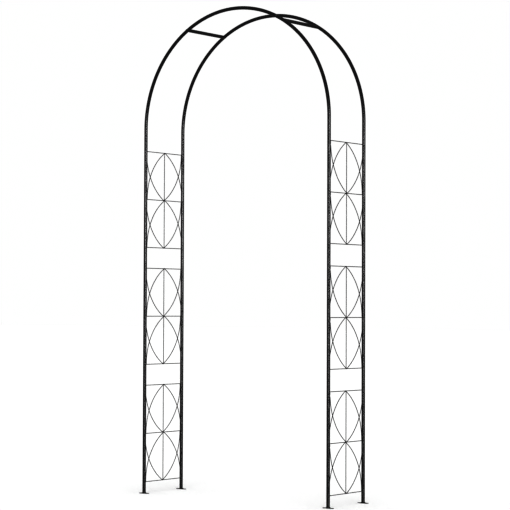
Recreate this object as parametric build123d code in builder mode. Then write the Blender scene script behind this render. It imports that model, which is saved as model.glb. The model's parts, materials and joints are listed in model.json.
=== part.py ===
from build123d import *

# A walk-through garden arch of black steel tube: two round-topped hoops, one behind the other,
# whose legs are joined by six wire trellis panels, three up each side. Every leg is made of
# three tubes and every hoop top of three bent tubes. Each tube plugs into the next with a
# swaged end, and two crossbars tie the hoops together near the top.
#
# Frame: the origin is on the ground, midway between the four feet. +X runs across the walkway,
# +Y runs through the arch from front to rear, +Z is up. All sizes are in millimetres.

import os
from math import atan2, cos, degrees, radians, sin, sqrt

# ---- Driving dimensions ----------------------------------------------------------------------
HEIGHT = 2400.0  # ground to the top of the hoops
SPAN = 1120.0  # leg axis to leg axis, across the walkway
DEPTH = 295.0  # front hoop axis to rear hoop axis

TUBE_R, TUBE_WALL = 8.0, 1.0
WIRE_R = 1.5

# Swaged joints: the end of one tube is drawn down to slide into the mouth of the next.
PLUG_LENGTH = 30.0
PLUG_CLEARANCE = 0.05  # on the radius
SWAGE_LENGTH = 2.0

# Trellis panels: two square-ish cells between three rails, with a clear gap to the next panel.
BOTTOM_RAIL_Z = 57.5
CELL_HEIGHT = 242.0
PANEL_GAP = 105.0

# Bows: pointed wire arches, one pair per cell, welded to the faces of the rails and legs.
ARM_RADIUS = 275.0
TIP_RADIUS = 10.0
ARM_END_GAP = 3.5  # from the end of an arm to the axis of the rail beside it
WELD_SINK = 0.2  # how far a welded wire sinks into what it lies against

# Hoop tops
ARCH_JOINT_DROP = 30.0  # the arch starts this far below the spring line, with a straight mouth
CROWN_HALF_ANGLE = 30.0  # the crown tube reaches this far each side of the apex
CROSSBAR_ANGLE = 31.5  # each crossbar lies this far from the apex

# Crossbar fixings: a screw through both tubes into a threaded plug in the bar's end
SCREW_R, SCREW_LENGTH = 2.5, 30.0
SCREW_HOLE_R = 2.75
HEAD_R, HEAD_HEIGHT = 4.75, 3.0
RECESS_SPAN, RECESS_WIDTH, RECESS_DEPTH = 5.0, 1.1, 1.7
INSERT_LENGTH, INSERT_SETBACK = 18.0, 0.5
INSERT_CLEARANCE = 0.02

# Foot plates
FOOT_LENGTH, FOOT_WIDTH, FOOT_THICK = 60.0, 18.0, 2.0
FOOT_HOLE_R, FOOT_HOLE_SPACING = 3.0, 42.0

# ---- Worked out from those -------------------------------------------------------------------
BORE_R = TUBE_R - TUBE_WALL
PLUG_R = BORE_R - PLUG_CLEARANCE
PLUG_BORE_R = PLUG_R - TUBE_WALL

HOOP_R = SPAN / 2
SPRING_Z = HEIGHT - TUBE_R - HOOP_R
PANEL_PITCH = 2 * CELL_HEIGHT + PANEL_GAP
FIRST_JOINT_Z = BOTTOM_RAIL_Z + 2 * CELL_HEIGHT + PANEL_GAP / 2
JOINT_Z = [FIRST_JOINT_Z, FIRST_JOINT_Z + PANEL_PITCH, SPRING_Z - ARCH_JOINT_DROP]

SIDES = {"left": -SPAN / 2, "right": SPAN / 2}
HOOPS = {"front": -DEPTH / 2, "rear": DEPTH / 2}
LEVELS = ["lower", "middle", "upper"]

# The bows lie on the inner and outer faces of the rails. An arm touches its leg where the
# distance between the two axes is both radii less the weld's sink.
BOW_OFFSET = 2 * WIRE_R - WELD_SINK
ARM_REACH = DEPTH / 2 - sqrt((TUBE_R + WIRE_R - WELD_SINK) ** 2 - BOW_OFFSET**2)
ARM_END = CELL_HEIGHT / 2 - ARM_END_GAP
ARM_CENTRE = ARM_REACH - ARM_RADIUS
TIP_RISE = sqrt((ARM_RADIUS - TIP_RADIUS) ** 2 - ARM_CENTRE**2)
ARM_ANGLE = degrees(atan2(TIP_RISE, -ARM_CENTRE))


def save(piece, name):
    """Labels a finished piece and writes it to its own file."""
    piece.part.label = name
    export_step(piece.part, f"parts/{name}.step")


def on_hoop(angle, y):
    """The point of a hoop's axis at an angle above the +X end of its spring line."""
    return (HOOP_R * cos(radians(angle)), y, SPRING_Z + HOOP_R * sin(radians(angle)))


def arc_angle(length):
    """The angle, in degrees, that a length along a hoop's axis takes up."""
    return degrees(length / HOOP_R)


def bend(radius, start, size, y, bore=0.0, mode=Mode.ADD):
    """Adds to the part being built a round bar or tube that follows a hoop's arc, or cuts it."""
    outward = (cos(radians(start)), 0, sin(radians(start)))
    along = (-sin(radians(start)), 0, cos(radians(start)))
    with BuildSketch(Plane(origin=on_hoop(start, y), x_dir=outward, z_dir=along)) as section:
        Circle(radius)
        if bore:
            Circle(bore, mode=Mode.SUBTRACT)
    hoop_axis = Axis((0, y, SPRING_Z), (0, -1, 0))
    revolve(section.sketch, axis=hoop_axis, revolution_arc=size, mode=mode)


def cut_screw_hole(angle, y):
    """Cuts the hole for a crossbar screw right through the part being built."""
    with Locations(Location(on_hoop(angle, y), (90, 0, 0))):
        Cylinder(SCREW_HOLE_R, 4 * TUBE_R, mode=Mode.SUBTRACT)


os.makedirs("parts", exist_ok=True)

# ---- Legs: straight tubes, each with a swaged plug at its upper end ---------------------------
for side, x in SIDES.items():
    for hoop, y in HOOPS.items():
        foot_z = FOOT_THICK
        for level, joint_z in zip(LEVELS, JOINT_Z):
            with BuildPart() as leg:
                with BuildSketch(Plane(origin=(x, y, 0), x_dir=(1, 0, 0), z_dir=(0, -1, 0))):
                    with BuildLine():
                        Polyline(
                            (BORE_R, foot_z),
                            (TUBE_R, foot_z),
                            (TUBE_R, joint_z - SWAGE_LENGTH),
                            (PLUG_R, joint_z),
                            (PLUG_R, joint_z + PLUG_LENGTH),
                            (PLUG_BORE_R, joint_z + PLUG_LENGTH),
                            (PLUG_BORE_R, joint_z - TUBE_WALL),
                            (BORE_R, joint_z - TUBE_WALL - SWAGE_LENGTH),
                            close=True,
                        )
                    make_face()
                revolve(axis=Axis((x, y, 0), (0, 0, 1)))
            save(leg, f"{side}_{hoop}_{level}_leg")
            foot_z = joint_z

# ---- Foot plates: round-ended strips under the legs, with two holes for ground pegs -----------
for side, x in SIDES.items():
    for hoop, y in HOOPS.items():
        with BuildPart() as foot_plate:
            with BuildSketch(Plane(origin=(x, y, 0))):
                SlotOverall(FOOT_LENGTH, FOOT_WIDTH)
                with GridLocations(FOOT_HOLE_SPACING, 0, 2, 1):
                    Circle(FOOT_HOLE_R, mode=Mode.SUBTRACT)
            extrude(amount=FOOT_THICK)
        save(foot_plate, f"{side}_{hoop}_foot_plate")

# ---- Trellis panels --------------------------------------------------------------------------
for side, x in SIDES.items():
    inward = -1 if x > 0 else 1
    for number, level in enumerate(LEVELS):
        bottom_z = BOTTOM_RAIL_Z + number * PANEL_PITCH
        rail_z = {
            "bottom": bottom_z,
            "middle": bottom_z + CELL_HEIGHT,
            "top": bottom_z + 2 * CELL_HEIGHT,
        }
        cell_z = [bottom_z + CELL_HEIGHT / 2, bottom_z + CELL_HEIGHT * 3 / 2]

        # Rails: wires from leg to leg, coped to the tubes they are welded to
        for place, z in rail_z.items():
            with BuildPart() as rail:
                with BuildSketch(Plane(origin=(x, -DEPTH / 2, z), z_dir=(0, 1, 0))):
                    Circle(WIRE_R)
                extrude(amount=DEPTH)
                with Locations((x, -DEPTH / 2, z), (x, DEPTH / 2, z)):
                    Cylinder(TUBE_R, 2 * TUBE_R, mode=Mode.SUBTRACT)
            save(rail, f"{side}_{level}_{place}_rail")

        # Stems: an upright wire in the middle of each cell, butted against its rails
        with BuildPart() as stems:
            with Locations(*[(x, 0, z) for z in cell_z]):
                Cylinder(WIRE_R, CELL_HEIGHT)
            with Locations(*[Location((x, 0, z), (90, 0, 0)) for z in rail_z.values()]):
                Cylinder(WIRE_R, 2 * TUBE_R, mode=Mode.SUBTRACT)
        save(stems, f"{side}_{level}_stems")

        # Bows: in each cell one points up, on the walkway face, and one points down, outside
        with BuildPart() as bows:
            for z in cell_z:
                for tip in (1, -1):
                    bow_x = x + tip * inward * BOW_OFFSET
                    bow_plane = Plane(origin=(bow_x, 0, z), x_dir=(0, tip, 0), z_dir=(1, 0, 0))
                    with BuildLine(bow_plane) as bow:
                        CenterArc((ARM_CENTRE, -ARM_END), ARM_RADIUS, 0, ARM_ANGLE)
                        CenterArc(
                            (0, TIP_RISE - ARM_END), TIP_RADIUS, ARM_ANGLE, 180 - 2 * ARM_ANGLE
                        )
                        CenterArc(
                            (-ARM_CENTRE, -ARM_END), ARM_RADIUS, 180 - ARM_ANGLE, ARM_ANGLE
                        )
                    with BuildSketch(Plane(origin=bow.line @ 0, z_dir=bow.line % 0)):
                        Circle(WIRE_R)
                    sweep(path=bow.line)
            # The welds sink the wires a little into the rails, the stem and the legs.
            with Locations(*[Location((x, 0, z), (90, 0, 0)) for z in rail_z.values()]):
                Cylinder(WIRE_R, DEPTH / 2, mode=Mode.SUBTRACT)
            with Locations((x, 0, rail_z["middle"])):
                Cylinder(WIRE_R, 2 * CELL_HEIGHT, mode=Mode.SUBTRACT)
            with Locations(*[(x, y, rail_z["middle"]) for y in HOOPS.values()]):
                Cylinder(TUBE_R, 2 * CELL_HEIGHT, mode=Mode.SUBTRACT)
        save(bows, f"{side}_{level}_bows")

# ---- Hoop tops: a haunch tube over each leg, and a crown tube plugged in between --------------
CROWN_START = 90 - CROWN_HALF_ANGLE
PLUG_TIP = CROWN_START - arc_angle(PLUG_LENGTH)
WEB_END = CROWN_START + arc_angle(2 * SWAGE_LENGTH)  # where the full bore begins
COPE_ANGLE = arc_angle(2 * TUBE_R)  # a stretch of hoop wide enough to cope a crossbar's end
SCREW_ANGLES = {"left": 90 + CROSSBAR_ANGLE, "right": 90 - CROSSBAR_ANGLE}

for hoop, y in HOOPS.items():
    for side, x in SIDES.items():
        with BuildPart() as haunch:
            bend(TUBE_R, 0 if x > 0 else 180 - CROWN_START, CROWN_START, y, bore=BORE_R)
            with BuildSketch(Plane(origin=(x, y, JOINT_Z[-1]))):
                Circle(TUBE_R)
                Circle(BORE_R, mode=Mode.SUBTRACT)
            extrude(amount=ARCH_JOINT_DROP)
            cut_screw_hole(SCREW_ANGLES[side], y)
        save(haunch, f"{hoop}_{side}_haunch_tube")

    with BuildPart() as crown:
        bend(TUBE_R, CROWN_START, 2 * CROWN_HALF_ANGLE, y)
        for end in crown.faces().filter_by(GeomType.PLANE):
            chamfer(end.edges(), length=TUBE_R - PLUG_R, length2=SWAGE_LENGTH, reference=end)
        bend(PLUG_R, PLUG_TIP, 180 - 2 * PLUG_TIP, y)
        bend(BORE_R, WEB_END, 180 - 2 * WEB_END, y, mode=Mode.SUBTRACT)
        bend(PLUG_BORE_R, PLUG_TIP, 180 - 2 * PLUG_TIP, y, mode=Mode.SUBTRACT)
        for angle in SCREW_ANGLES.values():
            cut_screw_hole(angle, y)
    save(crown, f"{hoop}_crown_tube")

# ---- Crossbars: straight tubes from hoop to hoop, coped to the haunch tubes -------------------
BAR_PLANES = {
    side: Plane(origin=on_hoop(angle, 0), x_dir=(1, 0, 0), z_dir=(0, 1, 0))
    for side, angle in SCREW_ANGLES.items()
}
for side, bar_plane in BAR_PLANES.items():
    with BuildPart() as crossbar:
        with BuildSketch(bar_plane):
            Circle(TUBE_R)
            Circle(BORE_R, mode=Mode.SUBTRACT)
        extrude(amount=DEPTH / 2, both=True)
        for y in HOOPS.values():
            bend(TUBE_R, SCREW_ANGLES[side] - COPE_ANGLE, 2 * COPE_ANGLE, y, mode=Mode.SUBTRACT)
    save(crossbar, f"{side}_crossbar")

# ---- Crossbar fixings ------------------------------------------------------------------------
with BuildPart() as inserts:
    for bar_plane in BAR_PLANES.values():
        for outward in (-1, 1):
            mouth = outward * (DEPTH / 2 - TUBE_R - INSERT_SETBACK)
            with BuildSketch(bar_plane.offset(mouth)):
                Circle(BORE_R)
                Circle(SCREW_R + INSERT_CLEARANCE, mode=Mode.SUBTRACT)
            extrude(amount=-outward * INSERT_LENGTH)
save(inserts, "crossbar_inserts")

with BuildPart() as screws:
    for bar_plane in BAR_PLANES.values():
        for outward in (-1, 1):
            seat = outward * (DEPTH / 2 + TUBE_R)
            with BuildSketch(bar_plane.offset(seat)):
                Circle(SCREW_R)
            extrude(amount=-outward * SCREW_LENGTH)
            with BuildSketch(bar_plane.offset(seat)):
                Circle(HEAD_R)
            extrude(amount=outward * HEAD_HEIGHT, taper=12)
            with BuildSketch(bar_plane.offset(seat + outward * HEAD_HEIGHT)):
                Rectangle(RECESS_SPAN, RECESS_WIDTH)
                Rectangle(RECESS_WIDTH, RECESS_SPAN)
            extrude(amount=-outward * RECESS_DEPTH, mode=Mode.SUBTRACT)
save(screws, "crossbar_screws")
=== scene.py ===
import json
import math
import random

import bmesh
import bpy
from mathutils import Matrix, Vector, noise


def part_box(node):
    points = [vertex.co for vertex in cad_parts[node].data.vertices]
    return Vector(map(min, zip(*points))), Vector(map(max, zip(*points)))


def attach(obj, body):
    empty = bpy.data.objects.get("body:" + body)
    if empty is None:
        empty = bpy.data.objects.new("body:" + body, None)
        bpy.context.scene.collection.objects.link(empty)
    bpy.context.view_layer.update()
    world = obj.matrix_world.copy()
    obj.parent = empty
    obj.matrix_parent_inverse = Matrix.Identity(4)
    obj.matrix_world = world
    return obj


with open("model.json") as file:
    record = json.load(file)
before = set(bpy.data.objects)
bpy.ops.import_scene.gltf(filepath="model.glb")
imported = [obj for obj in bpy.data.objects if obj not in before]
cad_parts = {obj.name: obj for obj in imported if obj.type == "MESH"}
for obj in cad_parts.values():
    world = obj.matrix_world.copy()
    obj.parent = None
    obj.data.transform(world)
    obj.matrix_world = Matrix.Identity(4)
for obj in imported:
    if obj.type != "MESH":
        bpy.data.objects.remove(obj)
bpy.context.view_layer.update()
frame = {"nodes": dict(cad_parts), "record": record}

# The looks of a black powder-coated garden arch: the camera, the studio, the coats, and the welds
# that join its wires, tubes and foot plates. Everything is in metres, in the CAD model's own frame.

NODES = frame["nodes"]
SIDES, HOOPS, LEVELS = ("left", "right"), ("front", "rear"), ("lower", "middle", "upper")
RAILS = ("bottom", "middle", "top")
MM = 0.001


# ---- Sizes read back from the frame ----------------------------------------------------------
def centre(node):
    """The middle of a CAD node's box."""
    low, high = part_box(node)
    return (Vector(low) + Vector(high)) / 2


def half_size(node, axis):
    """Half of a CAD node's extent along an axis."""
    low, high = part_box(node)
    return (high[axis] - low[axis]) / 2


TUBE_R = half_size("left_front_lower_leg", 0)
WIRE_R = half_size("left_lower_top_rail", 0)
PLATE_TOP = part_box("left_front_foot_plate")[1][2]
LEG_Y = abs(centre("left_front_lower_leg").y)
JOINT_Z = [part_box(f"left_front_{level}_leg")[0][2] for level in ("middle", "upper")]
JOINT_Z.append(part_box("front_left_haunch_tube")[0][2])
BOW_OFFSET = half_size("left_lower_bows", 0) - WIRE_R  # bows lie this far each side of the rails
WELD_SINK = 0.2 * MM  # how far a wire sinks into the tube that it is welded to
ARM_END_GAP = 3.5 * MM  # from the end of a bow's arm to the rail beside it
TIP_RADIUS = 10 * MM  # of the bend at a bow's tip


# ---- Camera ----------------------------------------------------------------------------------
CAMERA_PLACE = (5.511, -7.351, 0.932)
CAMERA_YAW, CAMERA_PITCH, CAMERA_ROLL = 36.757, 1.625, -0.217  # degrees
LENS, SENSOR = 131.85, 36.0  # millimetres
VIEW_GAMMA = 0.5  # keeps thin dark wires from fading into the white ground


def make_camera():
    data = bpy.data.cameras.new("camera")
    data.lens, data.sensor_width = LENS, SENSOR
    data.clip_start, data.clip_end = 0.1, 200.0
    camera = bpy.data.objects.new("camera", data)
    camera.location = CAMERA_PLACE
    angles = (90 + CAMERA_PITCH, CAMERA_ROLL, CAMERA_YAW)
    camera.rotation_euler = [math.radians(angle) for angle in angles]
    bpy.context.scene.collection.objects.link(camera)
    bpy.context.scene.camera = camera


def set_view():
    settings = bpy.context.scene.view_settings
    settings.view_transform = "Standard"
    settings.gamma = VIEW_GAMMA


make_camera()
set_view()


# ---- Node helpers ----------------------------------------------------------------------------
class Nodes:
    """A short way to write a node tree: each call adds a node, sets its inputs and links it."""

    def __init__(self, tree):
        self.tree = tree
        tree.nodes.clear()

    def add(self, kind, settings=None, **inputs):
        node = self.tree.nodes.new(kind)
        for name, value in (settings or {}).items():
            setattr(node, name, value)
        for name, value in inputs.items():
            self.put(node, name.replace("_", " "), value)
        return node

    def put(self, node, socket, value):
        target = node.inputs[int(socket)] if socket.isdigit() else node.inputs[socket]
        if isinstance(value, bpy.types.NodeSocket):
            self.tree.links.new(value, target)
        else:
            target.default_value = value

    def noise(self, vector, scale, detail=2.0, roughness=0.5):
        node = self.add("ShaderNodeTexNoise", Scale=scale, Detail=detail, Roughness=roughness)
        self.put(node, "Vector", vector)
        return node.outputs["Fac"]

    def span(self, value, low, high, to_low=0.0, to_high=1.0):
        node = self.add("ShaderNodeMapRange", {"interpolation_type": "SMOOTHSTEP"})
        for socket, x in zip(("Value", "From Min", "From Max", "To Min", "To Max"),
                             (value, low, high, to_low, to_high)):
            self.put(node, socket, x)
        return node.outputs["Result"]

    def maths(self, operation, a, b=0.0, c=0.0):
        node = self.add("ShaderNodeMath", {"operation": operation})
        for index, value in enumerate((a, b, c)):
            self.put(node, str(index), value)
        return node.outputs[0]

    def mix(self, factor, a, b):
        """Blends two colours. On a mix node they are inputs 6 and 7, and the result is output 2."""
        node = self.add("ShaderNodeMix", {"data_type": "RGBA"})
        for index, value in ((0, factor), (6, a), (7, b)):
            self.put(node, str(index), value)
        return node.outputs[2]

    def stretched(self, vector, scale):
        node = self.add("ShaderNodeMapping")
        self.put(node, "Vector", vector)
        self.put(node, "Scale", scale)
        return node.outputs[0]


# ---- Studio ----------------------------------------------------------------------------------
DAYLIGHT = 1.0  # the white room, as the camera and matt surfaces see it
ROOM = 0.35  # the same room, as glossy surfaces see it
SOFT_BOX = 21.0  # a low soft box beside the camera, which only glossy surfaces see
SOFT_BOX_TURN = 16.0  # degrees from the camera's direction to the box's middle
SOFT_BOX_FOCUS = 28.0  # how fast the box fades to each side of its middle
SOFT_BOX_FOOT = (-0.05, 0.05)  # rise of the sight line over which the box fades in
SOFT_BOX_HEAD = (0.16, 0.10)  # and out again, from its top down
REST_OF_BAND = 0.015  # the box's share that the same height has all round
FLOOR_REACH = 60.0
FLOOR_TONE, FLOOR_IN_REFLECTION = 0.8, 0.3
SUN_PLACE, SUN_STRENGTH, SUN_SPREAD = (1.5, -2.0, 6.0), 1.0, 30.0


def make_world():
    """White to the camera and in soft light. Reflections also see a low soft box."""
    world = bpy.data.worlds.new("studio")
    bpy.context.scene.world = world
    world.use_nodes = True
    world.cycles.sampling_method = "NONE"  # so that each ray reads the strength meant for its kind
    n = Nodes(world.node_tree)
    direction = n.add("ShaderNodeTexCoord").outputs["Generated"]
    split = n.add("ShaderNodeSeparateXYZ", Vector=direction)
    rise = split.outputs["Z"]
    band = n.maths("MULTIPLY", n.span(rise, *SOFT_BOX_FOOT), n.span(rise, *SOFT_BOX_HEAD))
    turn = n.maths("ARCTAN2", split.outputs["Y"], split.outputs["X"])
    off_box = n.maths("SUBTRACT", turn, math.radians(CAMERA_YAW - 90 + SOFT_BOX_TURN))
    half = n.maths("MULTIPLY_ADD", n.maths("COSINE", off_box), 0.5, 0.5)
    box = n.maths("MAXIMUM", n.maths("POWER", half, SOFT_BOX_FOCUS), REST_OF_BAND)
    room = n.maths("MULTIPLY_ADD", n.maths("MULTIPLY", band, box), SOFT_BOX, ROOM)
    reflected = n.add("ShaderNodeLightPath").outputs["Is Glossy Ray"]
    # A mix node's inputs 0, 2 and 3 are its factor and the two numbers it blends.
    strength = n.add("ShaderNodeMix", {"data_type": "FLOAT"})
    for index, value in ((0, reflected), (2, DAYLIGHT), (3, room)):
        n.put(strength, str(index), value)
    background = n.add("ShaderNodeBackground", Color=(1, 1, 1, 1))
    n.put(background, "Strength", strength.outputs[0])
    n.put(n.add("ShaderNodeOutputWorld"), "Surface", background.outputs[0])


def make_floor():
    mesh = bpy.data.meshes.new("floor")
    signs = ((-1, -1), (1, -1), (1, 1), (-1, 1))
    corners = [(x * FLOOR_REACH, y * FLOOR_REACH, 0) for x, y in signs]
    mesh.from_pydata(corners, [], [(0, 1, 2, 3)])
    floor = bpy.data.objects.new("floor", mesh)
    bpy.context.scene.collection.objects.link(floor)
    material = bpy.data.materials.new("floor")
    material.use_nodes = True
    n = Nodes(material.node_tree)
    reflected = n.add("ShaderNodeLightPath").outputs["Is Glossy Ray"]
    tone = n.mix(reflected, [FLOOR_TONE] * 3 + [1], [FLOOR_IN_REFLECTION] * 3 + [1])
    shader = n.add("ShaderNodeBsdfDiffuse", Color=tone)
    n.put(n.add("ShaderNodeOutputMaterial"), "Surface", shader.outputs[0])
    mesh.materials.append(material)


def make_overhead_light():
    """A wide, soft light from above, which shows in no reflection."""
    data = bpy.data.lights.new("overhead", "SUN")
    data.energy = SUN_STRENGTH
    data.angle = math.radians(SUN_SPREAD)
    light = bpy.data.objects.new("overhead", data)
    light.location = SUN_PLACE
    light.rotation_mode = "QUATERNION"
    light.rotation_quaternion = (-Vector(SUN_PLACE)).to_track_quat("-Z", "Y")
    light.visible_camera = light.visible_glossy = False
    bpy.context.scene.collection.objects.link(light)


make_world()
make_floor()
make_overhead_light()


# ---- Coats -----------------------------------------------------------------------------------
PRIMER = (0.16, 0.16, 0.165, 1)
SCUFFED = (0.09, 0.09, 0.092, 1)
DUST = (0.30, 0.28, 0.25, 1)
COAT_SPECULAR = 0.75  # a polyester coat bends light a little more than the usual 1.5
SPECKLE_DEEP, SPECKLE_PALE = 0.7, 1.35  # the speckle's darkest and palest, as shares of the tone
LESS_ROUGH, MORE_ROUGH = -0.04, 0.06  # how far the roughness wanders from patch to patch
SCUFF_PALENESS, SCUFF_ROUGHNESS, WEAR_ROUGHNESS = 0.35, 0.18, 0.2
# Noise scales: features for each metre of surface.
CLOUD_SCALE, SPOT_SCALE, PEEL_SCALE, SPECKLE_SCALE = 14.0, 160.0, 420.0, 900.0
SCRATCH_SCALE = (700.0, 700.0, 18.0)  # fine across and long upward
PEEL_ROUGHNESS = 0.4
PEEL_DEPTH = 0.25 * MM
WORN_DEPTH = 0.5  # how deep the worn spots are, as a share of the peel's depth
EDGE_RADIUS = 0.6 * MM
JOINT_WEAR_REACH, JOINT_WEAR_CORE = 3.0 * MM, 0.5 * MM
# Where each effect fades in: the input at which it starts, and the input at which it is full.
NOISE_SPREAD = (0.3, 0.7)
DUST_PATCHES, DUST_SLOPE = (0.35, 0.7), (0.35, 1.0)
SCRATCHES, SCUFF_PATCHES = (0.66, 0.74), (0.5, 0.62)
JOINT_WEAR_PATCHES = (0.48, 0.66)
EDGE_WEAR_PATCHES, EDGE_TURN = (0.42, 0.62), (0.985, 0.90)


def joint_wear(n, spots):
    """How worn the coat is: patchy rings where the tubes plug together."""
    place = n.add("ShaderNodeTexCoord").outputs["Object"]
    height = n.add("ShaderNodeSeparateXYZ", Vector=place).outputs["Z"]
    wear = 0.0
    for joint in JOINT_Z:
        away = n.maths("ABSOLUTE", n.maths("SUBTRACT", height, joint))
        wear = n.maths("MAXIMUM", wear, n.span(away, JOINT_WEAR_REACH, JOINT_WEAR_CORE))
    return n.maths("MULTIPLY", wear, n.span(spots, *JOINT_WEAR_PATCHES))


def edge_wear(n, spots):
    """How worn the coat is: thin on sharp edges, in patches."""
    rounded = n.add("ShaderNodeBevel", {"samples": 4}, Radius=EDGE_RADIUS).outputs[0]
    normal = n.add("ShaderNodeNewGeometry").outputs["Normal"]
    turn = n.add("ShaderNodeVectorMath", {"operation": "DOT_PRODUCT"})
    n.put(turn, "0", rounded)
    n.put(turn, "1", normal)
    sharp = n.span(turn.outputs["Value"], *EDGE_TURN)
    return n.maths("MULTIPLY", sharp, n.span(spots, *EDGE_WEAR_PATCHES))


def coat(name, tone, shine, peel=0.25, dust=0.05, wear=None, metal=0.0):
    """A satin coat: orange peel, uneven gloss, fine scuffs, worn spots and faint dust on top.

    Shine is its middle roughness, peel the strength of its bumps, and dust the most that lies on a
    face that looks up. Wear is a function that says where the coat is worn, if anywhere.
    """
    material = bpy.data.materials.new(name)
    material.use_nodes = True
    n = Nodes(material.node_tree)
    place = n.add("ShaderNodeTexCoord").outputs["Object"]
    cloudy = n.noise(place, CLOUD_SCALE, 3.0)
    speckle = n.noise(place, SPECKLE_SCALE)
    spots = n.noise(place, SPOT_SCALE, 3.0)
    peel_height = n.noise(place, PEEL_SCALE, 2.0, PEEL_ROUGHNESS)
    scratch = n.noise(n.stretched(place, SCRATCH_SCALE), 1.0)

    normal = n.add("ShaderNodeNewGeometry").outputs["Normal"]
    facing_up = n.span(n.add("ShaderNodeSeparateXYZ", Vector=normal).outputs["Z"], *DUST_SLOPE)
    dusty = n.maths("MULTIPLY", facing_up, n.span(cloudy, *DUST_PATCHES))
    dusty = n.maths("MULTIPLY", dusty, dust)
    scuffs = n.maths("MULTIPLY", n.span(scratch, *SCRATCHES), n.span(cloudy, *SCUFF_PATCHES))
    worn = wear(n, spots) if wear else 0.0

    deep = [c * SPECKLE_DEEP for c in tone] + [1]
    pale = [c * SPECKLE_PALE for c in tone] + [1]
    colour = n.mix(n.span(speckle, *NOISE_SPREAD), deep, pale)
    colour = n.mix(n.maths("MULTIPLY", scuffs, SCUFF_PALENESS), colour, SCUFFED)
    colour = n.mix(dusty, colour, DUST)
    colour = n.mix(worn, colour, PRIMER)

    rough = n.span(cloudy, *NOISE_SPREAD, shine + LESS_ROUGH, shine + MORE_ROUGH)
    rough = n.maths("ADD", rough, dusty)
    rough = n.maths("MULTIPLY_ADD", scuffs, SCUFF_ROUGHNESS, rough)
    rough = n.maths("MULTIPLY_ADD", worn, WEAR_ROUGHNESS, rough)

    depth = n.maths("SUBTRACT", peel_height, n.maths("MULTIPLY", worn, WORN_DEPTH))
    bump = n.add("ShaderNodeBump", Strength=peel, Distance=PEEL_DEPTH)
    n.put(bump, "Height", depth)

    shader = n.add("ShaderNodeBsdfPrincipled")
    n.put(shader, "Base Color", colour)
    n.put(shader, "Metallic", metal)
    n.put(shader, "Specular IOR Level", COAT_SPECULAR)
    n.put(shader, "Roughness", rough)
    n.put(shader, "Normal", bump.outputs[0])
    n.put(n.add("ShaderNodeOutputMaterial"), "Surface", shader.outputs[0])
    return material


TUBE_BLACK, WIRE_BLACK = (0.019, 0.019, 0.0197), (0.020, 0.020, 0.0207)
PLATE_BLACK, SCREW_BLACK = (0.020, 0.020, 0.0205), (0.022, 0.022, 0.023)
WELD_BLACK, ZINC = (0.019, 0.019, 0.0195), (0.5, 0.51, 0.52)
COATS = {
    "tube_coat": coat("tube_coat", TUBE_BLACK, 0.24, wear=joint_wear),
    "wire_coat": coat("wire_coat", WIRE_BLACK, 0.27),
    "foot_plate_coat": coat("foot_plate_coat", PLATE_BLACK, 0.20, dust=0.08, wear=edge_wear),
    "screw_finish": coat("screw_finish", SCREW_BLACK, 0.22, peel=0.1, wear=edge_wear),
    "zinc_plate": coat("zinc_plate", ZINC, 0.3, dust=0.0, metal=1.0),
}
WELD_COATS = {
    "wire_coat": coat("wire_weld_coat", WELD_BLACK, 0.26, peel=0.4),
    "foot_plate_coat": coat("foot_weld_coat", WELD_BLACK, 0.24, peel=0.4, dust=0.08),
}

for row in frame["record"]["subparts"]:
    for slot in NODES[row["node"]].material_slots:
        slot.material = COATS[row["material_slot"]]


# ---- Welds -----------------------------------------------------------------------------------
# Every weld is made of overlapping drops of metal, melted into one skin.
WELD_VOXEL = 0.5 * MM
MELT_SMOOTHING, MELT_PASSES = 0.5, 3
RIPPLE_DEPTH, RIPPLE_SCALE = 0.16 * MM, 450.0
DROP_JITTER = 0.12 * MM
DROP_SMALLEST, DROP_LARGEST = 0.9, 1.1

# Round the end of a rail: a drop at its root, and a ring of drops on the face of the tube.
COLLAR_ROOT_OUT, COLLAR_ROOT_R = 0.7 * MM, 2.5 * MM
COLLAR_RING_R, COLLAR_RING_OUT, COLLAR_COUNT = 2.1 * MM, 0.3 * MM, 8
COLLAR_DROP_R, COLLAR_DROP_SWELL = 1.35 * MM, 0.3 * MM

# Along the end of a bow's arm: a drop on the end, and a bead that thins out along the groove.
ARM_END_DROP_R, GROOVE_OUT = 1.75 * MM, 0.5 * MM
BEAD_SHORTEST_MM, BEAD_LONGEST_MM, BEAD_STEP = 11, 14, 1.25 * MM
BEAD_R_MM, BEAD_THINNING_MM = 1.3, 0.03  # the bead's radius at its root, and its loss per drop

# Where a bow's tip and a stem meet a rail. Distances and radii are in mm. The core drop sits at a
# share of the way from the rail to the bow's plane.
TIP_CORE_SHARE, TIP_CORE_UP, TIP_CORE_R = 0.55, 0.4, 2.7
TIP_BEND_TOP = 1.3  # from the rail's axis to the tip of the bend
STEM_DROPS = ((2.8, 2.1), (4.2, 1.8))  # distance from the rail, radius
BEND_DROPS = ((12, 2.1), (26, 1.8), (38, 1.65))  # degrees round the bend from its tip, radius
RAIL_DROP_OUT, RAIL_DROP_ALONG, RAIL_DROP_R = 0.9, 3.2, 1.9

# Round the foot of a leg: rings of drops, each by its distance from the tube's face, its height
# over the plate and its drops' radius, in mm.
FOOT_RINGS = ((1.5, 0.3, 1.9), (0.4, 1.5, 1.9), (0.0, 2.6, 1.3))
FOOT_RING_COUNT, FOOT_RING_TWIST = 26, 0.25

rng = random.Random(7)


def jitter(amount):
    return Vector([rng.uniform(-amount, amount) for _ in range(3)])


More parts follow.
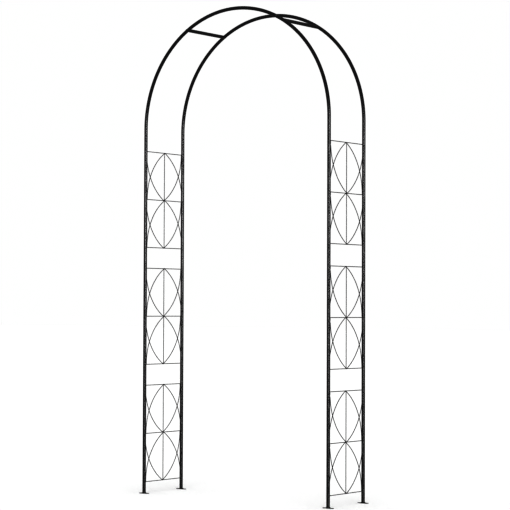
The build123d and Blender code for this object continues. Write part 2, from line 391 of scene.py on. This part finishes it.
def melt(piece):
    """Joins a piece's drops into one smooth skin and applies it to the piece's mesh."""
    remesh = piece.modifiers.new("melt", "REMESH")
    remesh.mode, remesh.voxel_size, remesh.use_smooth_shade = "VOXEL", WELD_VOXEL, True
    flow = piece.modifiers.new("flow", "SMOOTH")
    flow.factor, flow.iterations = MELT_SMOOTHING, MELT_PASSES
    depsgraph = bpy.context.evaluated_depsgraph_get()
    melted = bpy.data.meshes.new_from_object(piece.evaluated_get(depsgraph))
    piece.modifiers.clear()
    drops = piece.data
    piece.data = melted
    bpy.data.meshes.remove(drops)
    melted.name = piece.name


def ripple(mesh):
    """Moves the skin in and out a little, as cooled metal does."""
    for vertex, normal in zip(mesh.vertices, [v.normal.copy() for v in mesh.vertices]):
        vertex.co += normal * noise.noise(vertex.co * RIPPLE_SCALE) * RIPPLE_DEPTH


def weld_piece(name, drops, slot):
    """Makes one piece of overlapping drops of metal, each given as its centre and radius."""
    bm = bmesh.new()
    for place, radius in drops:
        spot = Matrix.Translation(Vector(place) + jitter(DROP_JITTER))
        size = radius * rng.uniform(DROP_SMALLEST, DROP_LARGEST)
        bmesh.ops.create_icosphere(bm, subdivisions=2, radius=size, matrix=spot)
    mesh = bpy.data.meshes.new(name)
    bm.to_mesh(mesh)
    bm.free()
    piece = bpy.data.objects.new(name, mesh)
    bpy.context.scene.collection.objects.link(piece)
    melt(piece)
    ripple(piece.data)
    piece.data.materials.clear()
    piece.data.materials.append(WELD_COATS[slot])
    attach(piece, "root")


def collar_drops(x, leg_y, z):
    """A fillet round the end of a rail, on the face of the leg's tube."""
    toward = -math.copysign(1, leg_y)
    start = rng.uniform(0, math.tau)
    root = Vector((x, leg_y + toward * (TUBE_R + COLLAR_ROOT_OUT), z))
    drops = [(root, COLLAR_ROOT_R)]
    for index in range(COLLAR_COUNT):
        angle = start + math.tau * index / COLLAR_COUNT
        across = COLLAR_RING_R * math.cos(angle)
        face = math.sqrt(TUBE_R**2 - across**2) + COLLAR_RING_OUT
        spot = Vector((x + across, leg_y + toward * face, z + COLLAR_RING_R * math.sin(angle)))
        drops.append((spot, COLLAR_DROP_R + COLLAR_DROP_SWELL * math.cos(angle - start)))
    return drops


def arm_drops(x, face, leg_y, rail_z, rise):
    """A bead in the groove between a leg and the end of a bow's arm, and a drop on the end."""
    toward = -math.copysign(1, leg_y)
    apart = TUBE_R + WIRE_R - WELD_SINK
    across = math.sqrt(apart**2 - BOW_OFFSET**2)
    to_tube, to_wire = TUBE_R + GROOVE_OUT, WIRE_R + GROOVE_OUT
    swing = math.acos((to_tube**2 + apart**2 - to_wire**2) / (2 * to_tube * apart))
    angle = math.atan2(BOW_OFFSET, across) + swing
    groove_x = x + face * to_tube * math.sin(angle)
    groove_y = leg_y + toward * to_tube * math.cos(angle)
    arm = Vector((x + face * BOW_OFFSET, leg_y + toward * across, rail_z + rise * ARM_END_GAP))
    drops = [(arm, ARM_END_DROP_R)]
    length = rng.uniform(BEAD_SHORTEST_MM, BEAD_LONGEST_MM) * MM
    for index in range(int(length / BEAD_STEP)):
        spot = Vector((groove_x, groove_y, arm.z + rise * index * BEAD_STEP))
        drops.append((spot, (BEAD_R_MM - BEAD_THINNING_MM * index) * MM))
    return drops


def tip_drops(x, face, rail_z, rise):
    """The joint of a rail with the tip of a bow and the end of the stem between its arms."""
    core = Vector((x + face * BOW_OFFSET * TIP_CORE_SHARE, 0, rail_z + rise * TIP_CORE_UP * MM))
    drops = [(core, TIP_CORE_R * MM)]
    for away, radius in STEM_DROPS:
        drops.append((Vector((x, 0, rail_z + rise * away * MM)), radius * MM))
    for side in (-1, 1):
        for degrees, radius in BEND_DROPS:
            turn = math.radians(degrees)
            along = side * TIP_RADIUS * math.sin(turn)
            away = TIP_BEND_TOP * MM + TIP_RADIUS * (1 - math.cos(turn))
            spot = Vector((x + face * BOW_OFFSET, along, rail_z + rise * away))
            drops.append((spot, radius * MM))
        beside = Vector((x + face * RAIL_DROP_OUT * MM, side * RAIL_DROP_ALONG * MM, rail_z))
        drops.append((beside, RAIL_DROP_R * MM))
    return drops


def make_panel_welds(side, level):
    """Every weld of one trellis panel: rails and arms to the legs, tips and stems to the rails."""
    drops = []
    inward = 1 if side == "left" else -1
    for rail in RAILS:
        middle = centre(f"{side}_{level}_{rail}_rail")
        x, z = middle.x, middle.z
        # Above a rail a bow's arms end on the walkway face and a tip points down outside.
        above, below = rail != "top", rail != "bottom"
        for leg_y in (-LEG_Y, LEG_Y):
            drops += collar_drops(x, leg_y, z)
            if above:
                drops += arm_drops(x, inward, leg_y, z, 1)
            if below:
                drops += arm_drops(x, -inward, leg_y, z, -1)
        if above:
            drops += tip_drops(x, -inward, z, 1)
        if below:
            drops += tip_drops(x, inward, z, -1)
    weld_piece(f"{side}_{level}_panel_welds", drops, "wire_coat")


def make_foot_weld(side, hoop):
    """A rippled fillet round the foot of a leg, on its foot plate."""
    middle = centre(f"{side}_{hoop}_foot_plate")
    drops = []
    for out, up, radius in FOOT_RINGS:
        ring = TUBE_R + out * MM
        for index in range(FOOT_RING_COUNT):
            angle = math.tau * (index + FOOT_RING_TWIST * up) / FOOT_RING_COUNT
            spot = (middle.x + ring * math.cos(angle), middle.y + ring * math.sin(angle))
            drops.append((Vector((*spot, PLATE_TOP + up * MM)), radius * MM))
    weld_piece(f"{side}_{hoop}_foot_weld", drops, "foot_plate_coat")


for side in SIDES:
    for level in LEVELS:
        make_panel_welds(side, level)
    for hoop in HOOPS:
        make_foot_weld(side, hoop)
